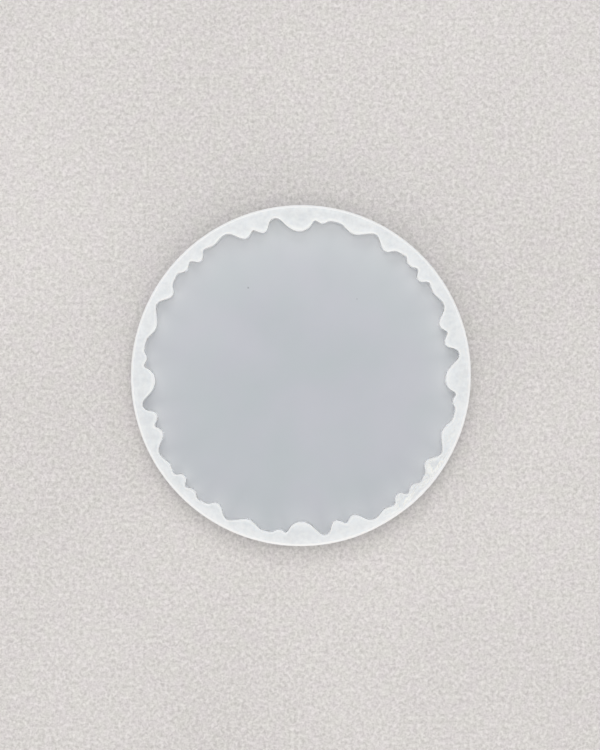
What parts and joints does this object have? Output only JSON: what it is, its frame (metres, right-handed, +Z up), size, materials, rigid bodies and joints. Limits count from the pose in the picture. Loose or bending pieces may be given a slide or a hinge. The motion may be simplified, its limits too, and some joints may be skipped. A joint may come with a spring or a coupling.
{
  "type": "resin casting mould",
  "caption": "Shallow round open mould of translucent silicone for casting a resin coaster, with a flat floor and a low rim whose inner wall runs in soft wavy lobes.",
  "frame": {"origin": "centre of the flat base, on the surface that the mould rests on", "axes": "+Z up out of the open mouth, along the round outside's own axis; +Y through the middle of a broad lobe, and +X close to the next one"},
  "size_m": [0.112, 0.112, 0.008],
  "materials": {
    "silicone": "cloudy translucent silicone, glossy on the cavity floor and satin on the rim"
  },
  "bodies": {
    "root": {"silicone_mould": "silicone"}
  },
  "joints": []
}
